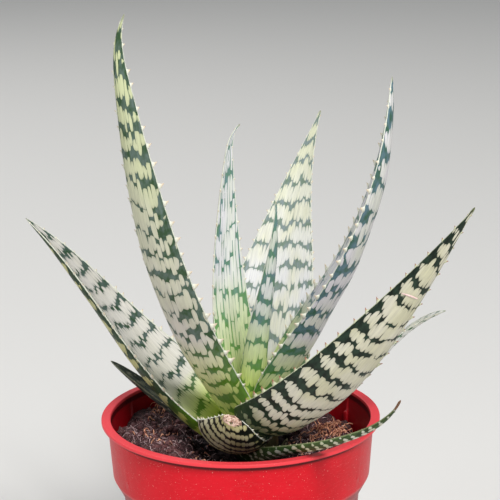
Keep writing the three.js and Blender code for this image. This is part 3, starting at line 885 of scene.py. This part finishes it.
def soil_height(x, y):
    """Height of the soil's surface: tilted, uneven and hollow round the plant."""
    away = math.hypot(x - STEM_AXIS[0], y - STEM_AXIS[1]) / HOLLOW_RADIUS
    uneven = math.sin(0.31 * x + 1.3) * math.cos(0.27 * y) + 0.6 * math.sin(0.53 * y - 0.4 * x)
    tilt = SOIL_TILT * (0.4 * y - x) / RIM_RADIUS
    return SOIL_LEVEL + tilt + SOIL_BUMP * uneven - HOLLOW_DEPTH * math.exp(-away ** 4)


def soil_top(x, y):
    """Height of the crumbled surface."""
    relief = 0
    for size, depth in SOIL_RELIEF:
        relief += depth * noise.noise(Vector((x / size, y / size, size)))
    return soil_height(x, y) + relief


def make_soil(finish):
    """The soil's body, with a crumbled top and crumbs lying on it. It has no hole for the stem."""
    shell = Shell("tint")
    edge = SOIL_EDGE + SOIL_LUG_OVERLAP
    turns = np.arange(SOIL_SIDES) * 2 * math.pi / SOIL_SIDES
    rings = []
    for ring in range(SOIL_RINGS + 1):
        radius = max(SOIL_CENTRE_RADIUS, edge * ring / SOIL_RINGS)
        ring_points = [(radius * math.cos(turn), radius * math.sin(turn)) for turn in turns]
        rings.append([(x, y, soil_top(x, y)) for x, y in ring_points])
    foot = POT_FLOOR + SOIL_CLEARANCE
    raised = 2 * SOIL_CLEARANCE
    for height in (POT_HEIGHT - COLLAR_DEPTH + raised, POT_HEIGHT - STEP_DEPTH + raised, foot):
        radius = pot_inside_radius(height - raised) - SOIL_CLEARANCE
        rings.append([(radius * math.cos(turn), radius * math.sin(turn), height) for turn in turns])
    start = shell.add(rings, tint=[0.0] * (len(rings) * SOIL_SIDES))
    shell.tube(start, len(rings), SOIL_SIDES)
    draw = random.Random(11)
    for _ in range(CRUMBS):
        x, y = spot_on_soil(draw, edge)
        size = CRUMB_SIZES[0] + CRUMB_SIZES[1] * draw.random() ** 4
        centre = (x, y, soil_top(x, y) + size * CRUMB_LIFT)
        radii = (size, size * draw.uniform(*CRUMB_DEPTHS), size * draw.uniform(*CRUMB_HEIGHTS))
        add_crumb(shell, draw, centre, radii)
    return shell.make("soil_body", finish)


def spot_on_soil(draw, edge):
    """A place on the soil, clear of the pot's wall and of the plant's base."""
    while True:
        radius = (edge - EDGE_MARGIN) * math.sqrt(draw.random())
        turn = draw.uniform(0, 2 * math.pi)
        x, y = radius * math.cos(turn), radius * math.sin(turn)
        if math.hypot(x - STEM_AXIS[0], y - STEM_AXIS[1]) > PLANT_RADIUS:
            return x, y


def add_crumb(shell, draw, centre, radii):
    """A small uneven lump, turned at random."""
    tint = CRUMB_TINTS[0] + CRUMB_TINTS[1] * draw.random()
    turn = draw.uniform(0, math.pi)
    shift = draw.uniform(0, 99)
    points = []
    for ring in range(CRUMB_RINGS):
        polar = math.pi * (ring + 0.3) / (CRUMB_RINGS - 0.4)
        for corner in range(CRUMB_SIDES):
            azimuth = 2 * math.pi * corner / CRUMB_SIDES
            level = math.sin(polar)
            unit = Vector((level * math.cos(azimuth), level * math.sin(azimuth), math.cos(polar)))
            bumps = noise.noise(unit * CRUMB_FINENESS + Vector((shift, 0, 0)))
            swell = 1 + CRUMB_UNEVENNESS * bumps
            x, y, z = (unit[axis] * radii[axis] * swell for axis in range(3))
            points.append((
                centre[0] + x * math.cos(turn) - y * math.sin(turn),
                centre[1] + x * math.sin(turn) + y * math.cos(turn),
                centre[2] + z))
    start = shell.add(points, tint=[tint] * len(points))
    shell.tube(start, CRUMB_RINGS, CRUMB_SIDES)


def make_fibres(finish):
    """Loose fibres on the soil: most of them pale, all over it, and tufts of orange coir."""
    shell = Shell("tint")
    draw = random.Random(5)
    for _ in range(FIBRES):
        x, y = spot_on_soil(draw, SOIL_EDGE - EDGE_MARGIN)
        tint = 0.0 if draw.random() < PALE_SHARE else 1.0
        add_fibre(shell, draw, x, y, draw.uniform(*FIBRE_LENGTHS), tint, FIBRE_LIFT)
    for centre_x, centre_y, spread, count in COIR_TUFTS:
        for _ in range(count):
            x, y = draw.gauss(centre_x, spread), draw.gauss(centre_y, spread)
            if math.hypot(x, y) < SOIL_EDGE - COIR_MARGIN:
                add_fibre(shell, draw, x, y, draw.uniform(*COIR_LENGTHS), 1.0, COIR_LIFT)
    return shell.make("soil_fibres", finish)


def add_fibre(shell, draw, x, y, length, tint, lift):
    """A bent thread that lies on the soil and rises a little along its middle. Coir is thicker."""
    turn = draw.uniform(0, 2 * math.pi)
    bend = draw.uniform(-FIBRE_BEND, FIBRE_BEND)
    thick = draw.uniform(*FIBRE_THICKNESSES) * (1 + tint)
    rise = lift * draw.random()
    points = []
    for step in range(FIBRE_STEPS):
        share = step / (FIBRE_STEPS - 1)
        x += math.cos(turn) * length / FIBRE_STEPS
        y += math.sin(turn) * length / FIBRE_STEPS
        turn += bend + draw.uniform(-FIBRE_WANDER, FIBRE_WANDER)
        z = soil_top(x, y) + thick + rise * math.sin(math.pi * share)
        side = (-math.sin(turn), math.cos(turn))
        for corner in range(FIBRE_SIDES):
            angle = 2 * math.pi * corner / FIBRE_SIDES
            across = thick * math.cos(angle) * (1.1 - 0.6 * share)
            points.append((x + side[0] * across, y + side[1] * across, z + thick * math.sin(angle)))
    start = shell.add(points, tint=[tint] * len(points))
    shell.tube(start, FIBRE_STEPS, FIBRE_SIDES)


# Finishes of the pot, soil, stem, withered tip and scar


def pot_finish():
    """Smooth red plastic; a paler lip, partly scuffed plastic and partly a painted highlight, a painted
    shadow under the lip, and a deeper red inside that is painted shade.
    """
    finish = Finish("red_pot_plastic", Specular_IOR_Level=0.2, Coat_Weight=0.05, Coat_Roughness=0.25)
    x, y, z = finish.millimetres()
    mottle = finish.noise(x * 0.5, y * 0.5, z * 0.5, detail=4, roughness=0.7)
    broad = finish.noise(x * 0.06, y * 0.06, z * 0.05)
    specks = finish.noise(x * 2.2, y * 2.2, z * 2.2, detail=1).above(0.74, 0.04)
    scratches = finish.noise(x * 0.35, y * 0.35, z * 5.5, detail=2).above(0.67, 0.05)
    colour = finish.mix(mottle, srgb(184, 2, 16), srgb(212, 8, 30))
    colour = finish.mix(broad.above(0.52, 0.3) * 0.4, colour, srgb(222, 14, 38))
    colour = finish.mix(scratches * 0.2, colour, srgb(236, 100, 104))
    colour = finish.mix(specks * 0.6, colour, srgb(226, 172, 160))
    # Painted shade: the inside wall is darkened to a deeper red, where the pot's own wall shades it.
    wall = (x * x + y * y) ** 0.5 - z * WALL_SLOPE - COLLAR_FOOT_RADIUS + POT_WALL / 2
    inside = wall.below(-WALL_SLOPE * (POT_HEIGHT - COLLAR_DEPTH), 0.3) * z.below(POT_HEIGHT - 0.6, 1)
    colour = finish.mix(inside * 0.6, colour, srgb(96, 4, 12))
    lip_foot = POT_HEIGHT - RIM_THICKNESS
    # Painted shadow: a dark line on the wall under the lip, where the lip's shadow falls.
    under_lip_shade = z.above(lip_foot - 1.7, 0.6) * z.below(lip_foot + 0.2, 0.2)
    colour = finish.mix(under_lip_shade * 0.85, colour, srgb(58, 0, 5))
    # The lip is made paler: partly scuffed, stretched plastic and partly a painted highlight.
    lip = z.above(lip_foot + 0.2, 0.3)
    colour = finish.mix(lip * 0.5, colour, srgb(250, 88, 96))
    roughness = mottle * 0.22 + scratches * 0.2 + 0.28
    return finish.paint(colour, roughness, mottle * 0.6 - scratches * 0.3 + specks * 0.3, 0.06)


def soil_finish():
    """Dark, gritty potting mix with pale specks, darkened round the plant by a painted shade."""
    finish = Finish("dark_potting_mix", Specular_IOR_Level=0.3)
    x, y, z = finish.millimetres()
    tint = finish.attribute("tint")
    grain = finish.noise(x * 1.3, y * 1.3, z * 1.3, detail=5, roughness=0.75)
    fine = finish.noise(x * 4.5, y * 4.5, z * 4.5, detail=3)
    damp = finish.noise(x * 0.12, y * 0.12, z * 0.12)
    colour = finish.mix(grain.above(0.52, 0.24), srgb(8, 4, 6), srgb(104, 60, 64))
    colour = finish.mix(tint, colour, srgb(122, 76, 76))
    colour = finish.mix(fine.above(0.62, 0.06) * 0.8, colour, srgb(216, 172, 172))
    colour = finish.mix(damp.above(0.55, 0.2) * 0.5, colour, srgb(30, 14, 18))
    # Painted shade: the soil is darkened round the plant, where the leaves shade it.
    from_x = x - STEM_AXIS[0]
    from_y = y - STEM_AXIS[1]
    from_stem = (from_x * from_x + from_y * from_y) ** 0.5
    colour = finish.mix(from_stem.below(24, 9) * 0.75, colour, srgb(6, 3, 4))
    return finish.paint(colour, grain * 0.5 + 0.4, grain + fine * 0.5, 0.6)


def fibre_finish():
    """Pinkish-white fibres, and orange coir where the tint is 1."""
    finish = Finish("pale_and_coir_fibres", Specular_IOR_Level=0.3)
    x, y, z = finish.millimetres()
    change = finish.noise(x * 0.8, y * 0.8, z * 0.8, detail=3)
    pale = finish.mix(change.above(0.5, 0.4), srgb(120, 76, 80), srgb(244, 216, 216))
    coir = finish.mix(change.above(0.5, 0.24), srgb(130, 62, 56), srgb(255, 190, 152))
    colour = finish.mix(finish.attribute("tint"), pale, coir)
    return finish.paint(colour, change * 0.2 + 0.6, change, 0.05)


def stem_finish():
    """Dry, fibrous skin with its grain along the stem."""
    finish = Finish("fibrous_stem", Specular_IOR_Level=0.3)
    x, y, z = finish.millimetres()
    fibre = finish.noise(x * 1.6, y * 1.6, z * 0.15, detail=4, roughness=0.7)
    colour = finish.mix(fibre, srgb(96, 84, 50), srgb(178, 170, 116))
    return finish.paint(colour, fibre * 0.2 + 0.65, fibre, 0.3)


def dry_tip_finish():
    """Withered, papery skin, dark in its folds."""
    finish = Finish("withered_tip", Specular_IOR_Level=0.2)
    x, y, z = finish.millimetres()
    folds = finish.noise(x * 0.9, y * 0.9, z * 0.9, detail=4, roughness=0.7)
    fine = finish.noise(x * 3, y * 3, z * 3, detail=2)
    colour = finish.mix(folds.above(0.5, 0.2), srgb(150, 108, 84), srgb(238, 208, 190))
    colour = finish.mix(fine.above(0.6, 0.1) * 0.6, colour, srgb(244, 230, 216))
    colour = finish.mix(folds.below(0.38, 0.08), colour, srgb(74, 48, 34))
    return finish.paint(colour, fine * 0.2 + 0.6, folds + fine * 0.3, 0.35)


def scar_finish():
    """Pale, healed skin."""
    finish = Finish("healed_scar", Specular_IOR_Level=0.25)
    x, y, z = finish.millimetres()
    change = finish.noise(x, y, z, detail=2)
    colour = finish.mix(change, srgb(206, 166, 160), srgb(240, 218, 216))
    return finish.paint(colour, change * 0.2 + 0.5, change, 0.05)


# Studio


FLOOR_CORNERS = [(-4, -3, 0), (4, -3, 0), (4, 7, 0), (-4, 7, 0)]
AIM = Vector((0, 0, 0.13))
SKY_COLOUR = (0.9, 0.95, 1, 1)
SKY_STRENGTH = 0.24


def make_floor():
    mesh = bpy.data.meshes.new("floor")
    mesh.from_pydata(FLOOR_CORNERS, [], [(0, 1, 2, 3)])
    finish = Finish("pale_floor", Roughness=0.8)
    finish.feed(finish.surface.inputs["Base Color"], srgb(226, 224, 220))
    mesh.materials.append(finish.material)
    floor = bpy.data.objects.new("floor", mesh)
    bpy.context.scene.collection.objects.link(floor)


def make_light(name, place, size, power):
    """A square soft light that faces the middle of the plant."""
    data = bpy.data.lights.new(name, "AREA")
    data.size = size
    data.energy = power
    light = bpy.data.objects.new(name, data)
    light.location = place
    towards = AIM - Vector(place)
    light.rotation_euler = towards.to_track_quat("-Z", "Y").to_euler()
    bpy.context.scene.collection.objects.link(light)


def light_studio():
    make_floor()
    make_light("key_light", (0.4, -1.05, 1.2), 0.5, 24)
    make_light("fill_light", (-1.2, -0.8, 0.8), 0.9, 6)
    make_light("back_light", (-0.5, 1.0, 1.3), 0.9, 9)
    world = bpy.data.worlds.new("studio")
    world.use_nodes = True
    background = world.node_tree.nodes["Background"]
    background.inputs["Color"].default_value = SKY_COLOUR
    background.inputs["Strength"].default_value = SKY_STRENGTH
    bpy.context.scene.world = world


def dress(piece, node):
    """Puts a finished piece in the place of the model's own solid."""
    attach(piece, "root")
    if node:
        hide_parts(node)


LEAF_FINISHES = {
    "leaf_heart": dict(
        seed=1, finger=1.6, period=9, gap=0.8, gap_change=6, ragged=4, lime=36, wave=10, margin=1.4,
        light=(srgb(218, 220, 218), srgb(206, 214, 196)),
        dark=(srgb(92, 134, 104), srgb(104, 134, 138))),
    "leaf_back_left": dict(
        seed=2, finger=1.6, period=10.5, gap=-0.3, ragged=5, slit=26, gap_change=3, lime=50,
        margin_gap=(1.2, 1.2), lime_light=srgb(212, 230, 130), lime_dark=srgb(124, 178, 54),
        light_inner=(srgb(226, 224, 228), srgb(216, 221, 206)),
        dark_inner=(srgb(96, 138, 108), srgb(108, 140, 142))),
    "leaf_back_broad": dict(
        seed=3, finger=2.0, period=8.8, gap=0.75, gap_change=3, slit=4, wave=11, lime=20,
        margin=1.8, margin_gap=(1.6, 1.6), upper=srgb(222, 223, 188), upper_share=0.8,
        light_inner=(srgb(226, 225, 228), srgb(220, 219, 198)),
        dark_inner=(srgb(118, 138, 120), srgb(136, 150, 150))),
    "leaf_tall_right": dict(
        seed=4, finger=1.7, period=11, gap=1.2, inner_gap=-2.2, gap_change=6.4, lime=42, slit=6,
        wave=15, ragged=3.2, lime_light=srgb(204, 222, 112), lime_dark=srgb(96, 150, 40),
        light=(srgb(218, 214, 220), srgb(210, 212, 198)), dark=(srgb(58, 96, 76), srgb(92, 120, 132)),
        light_inner=(srgb(226, 222, 232), srgb(218, 220, 212)),
        dark_inner=(srgb(112, 142, 132), srgb(128, 146, 160))),
    "leaf_tall_left": dict(
        seed=5, period=9.2, gap=0.8, side_gap=0.1, ragged=3.2, slit=5, lime=52, gap_change=5.6, wave=12,
        margin=2.6, margin_gap=(0.4, 2.8), base_margin=3.5, upper=srgb(196, 206, 146), upper_share=0.7,
        light=(srgb(206, 202, 192), srgb(190, 189, 168)), dark=(srgb(50, 78, 48), srgb(90, 108, 100))),
    "leaf_front_right": dict(
        seed=6, finger=1.7, period=8.6, gap=0.7, side_gap=-0.07, gap_change=4, wave=12,
        margin=2.6, margin_gap=(3.4, 0.5), base_margin=4, base_gap=2, lime=36,
        light=(srgb(214, 210, 192), srgb(200, 197, 164)), dark=(srgb(12, 26, 15), srgb(36, 56, 42)),
        lime_light=srgb(188, 196, 130), lime_dark=srgb(40, 76, 22), horn=srgb(196, 200, 168),
        tooth_tip=srgb(160, 100, 80), tip=srgb(92, 100, 62)),
    "leaf_low_left": dict(
        seed=7, finger=1.5, period=8.2, gap=1.6, inner_gap=-1.1, lime=20, margin_gap=(1.2, 3.6),
        light=(srgb(198, 196, 150), srgb(178, 178, 110)), dark=(srgb(26, 50, 26), srgb(50, 76, 50)),
        light_inner=(srgb(216, 212, 204), srgb(206, 202, 190)), horn_width=0.5,
        dark_inner=(srgb(48, 76, 50), srgb(84, 100, 96))),
    "leaf_front_stub": dict(
        seed=8, finger=1.9, period=4.6, gap=0.62, gap_change=0.8, wave=2.6, ragged=0.9, roundness=1.4,
        slit=2.4, margin=4, margin_gap=(0.3, 1.2), lime=8, lime_light=srgb(170, 160, 110),
        lime_dark=srgb(40, 44, 24), upper=srgb(190, 188, 92), upper_share=0.6,
        light=(srgb(232, 227, 206), srgb(206, 202, 138)), dark=(srgb(10, 15, 10), srgb(24, 32, 24))),
    "leaf_old_left": dict(
        seed=9, period=6, gap=1.2, slit=6, lime=6, lime_light=srgb(120, 124, 90),
        lime_dark=srgb(40, 52, 34), horn=srgb(120, 126, 100),
        light=(srgb(150, 152, 136), srgb(128, 134, 104)), dark=(srgb(34, 46, 34), srgb(70, 80, 74)),
        light_inner=(srgb(150, 152, 136), srgb(128, 134, 104)),
        dark_inner=(srgb(44, 58, 42), srgb(80, 90, 84))),
    "leaf_low_right": dict(
        seed=10, finger=1.6, period=5, gap=-0.2, lime=10, gap_change=2.4, margin=1.2, slit=1.5,
        margin_gap=(0.8, 0.8),
        light=(srgb(232, 233, 228), srgb(220, 224, 208)), dark=(srgb(62, 102, 66), srgb(92, 124, 100)),
        dark_inner=(srgb(56, 96, 60), srgb(88, 120, 96))),
    "leaf_over_rim": dict(
        seed=11, finger=1.8, period=4.8, gap=1.1, gap_change=1.2, ragged=1.2, wave=4, slit=1,
        margin=1.2, margin_gap=(1, 1), lime=6, lime_light=srgb(170, 172, 140),
        lime_dark=srgb(30, 40, 24), horn=srgb(122, 132, 92), base_gap=0.4,
        light=(srgb(216, 216, 200), srgb(192, 198, 160)), dark=(srgb(34, 60, 26), srgb(62, 88, 42)),
        light_inner=(srgb(200, 202, 184), srgb(176, 182, 140)),
        dark_inner=(srgb(30, 52, 26), srgb(52, 74, 42)), tip=srgb(120, 84, 56), tip_share=0.94),
    "leaf_hidden_back": dict(seed=12),
}

dress(make_pot(pot_finish()), "pot")
dress(make_soil(soil_finish()), "soil")
dress(make_fibres(fibre_finish()), None)
for leaf_name, leaf_table in LEAVES.items():
    skin = leaf_skin(leaf_name + "_skin", **LEAF_FINISHES[leaf_name])
    dress(make_leaf(leaf_name, leaf_table, skin), leaf_name)
dry_tip = make_dry_tip("stub_dry_tip", LEAVES["leaf_front_stub"], dry_tip_finish())
dress(dry_tip, None)
scar = make_scar("leaf_scar", LEAVES["leaf_front_right"], scar_finish())
dress(scar, None)

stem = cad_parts["stem"]
stem.data.materials.clear()
stem.data.materials.append(stem_finish())

light_studio()
